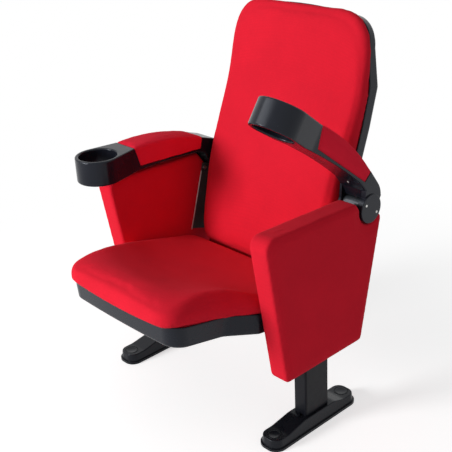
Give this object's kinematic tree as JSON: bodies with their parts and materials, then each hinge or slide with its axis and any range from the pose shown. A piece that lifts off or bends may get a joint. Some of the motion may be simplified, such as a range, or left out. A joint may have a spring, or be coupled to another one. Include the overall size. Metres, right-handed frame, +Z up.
{
  "type": "tip-up auditorium seat",
  "caption": "Upholstered auditorium seat with a high back, padded side panels on steel posts, a tip-up seat and lifting armrests that end in cup rings.",
  "frame": {"origin": "on the floor, midway between the four anchor bolt holes of the two feet", "axes": "+X to the right of a viewer who faces the seat, the seat's front faces -Y, +Z up"},
  "size_m": [0.676, 0.7173, 1.0063],
  "materials": {
    "red_fabric": "plain close-woven upholstery cloth, matt",
    "black_plastic": "moulded, satin with a very fine grain",
    "black_steel": "black powder coat, satin",
    "zinc_steel": "zinc plated",
    "plywood": "bare plywood",
    "pale_nylon": "natural nylon",
    "rubber": "matt"
  },
  "bodies": {
    "standards": {"right_foot_plate": "zinc_steel", "right_foot_cover": "black_plastic", "right_anchor_caps": "black_plastic", "right_post": "black_steel", "right_post_screw": "black_steel", "right_panel_core": "plywood", "right_panel_upholstery": "red_fabric", "right_hinge_bracket": "black_steel", "right_hinge_barrel": "black_plastic", "right_arm_axle": "zinc_steel", "right_back_bracket": "black_steel", "right_bracket_screws": "zinc_steel", "right_seat_pivot": "zinc_steel", "left_foot_plate": "zinc_steel", "left_foot_cover": "black_plastic", "left_anchor_caps": "black_plastic", "left_post": "black_steel", "left_post_screw": "black_steel", "left_panel_core": "plywood", "left_panel_upholstery": "red_fabric", "left_hinge_bracket": "black_steel", "left_hinge_barrel": "black_plastic", "left_arm_axle": "zinc_steel", "left_back_bracket": "black_steel", "left_bracket_screws": "zinc_steel", "left_seat_pivot": "zinc_steel", "back_cushion": "red_fabric", "back_board": "plywood", "back_shell": "black_plastic"},
    "seat": {"seat_cushion": "red_fabric", "seat_pan": "black_plastic", "seat_board": "plywood", "seat_hinge_plates": "black_steel", "seat_bushes": "pale_nylon", "seat_springs": "zinc_steel", "seat_bumpers": "rubber"},
    "right_armrest": {"right_arm_shell": "black_plastic", "right_arm_insert": "zinc_steel", "right_arm_bushes": "pale_nylon", "right_arm_pad_board": "plywood", "right_arm_pad": "red_fabric", "right_hinge_cap_outer": "black_plastic", "right_hinge_cap_inner": "black_plastic", "right_cap_screws": "zinc_steel"},
    "left_armrest": {"left_arm_shell": "black_plastic", "left_arm_insert": "zinc_steel", "left_arm_bushes": "pale_nylon", "left_arm_pad_board": "plywood", "left_arm_pad": "red_fabric", "left_hinge_cap_outer": "black_plastic", "left_hinge_cap_inner": "black_plastic", "left_cap_screws": "zinc_steel"}
  },
  "joints": [
    {"name": "seat_tip", "type": "hinge", "parent": "standards", "child": "seat", "pos_m": [0, 0.04, 0.3], "axis": [-1, 0, 0], "range_deg": [0, 70], "stiffness_Nm_per_rad": 4, "springref_deg": 80.21},
    {"name": "right_arm_lift", "type": "hinge", "parent": "standards", "child": "right_armrest", "pos_m": [0.281, 0.205, 0.549], "axis": [-1, 0, 0], "range_deg": [-35, 25]},
    {"name": "left_arm_lift", "type": "hinge", "parent": "standards", "child": "left_armrest", "pos_m": [-0.281, 0.205, 0.549], "axis": [-1, 0, 0], "range_deg": [0, 60]}
  ]
}
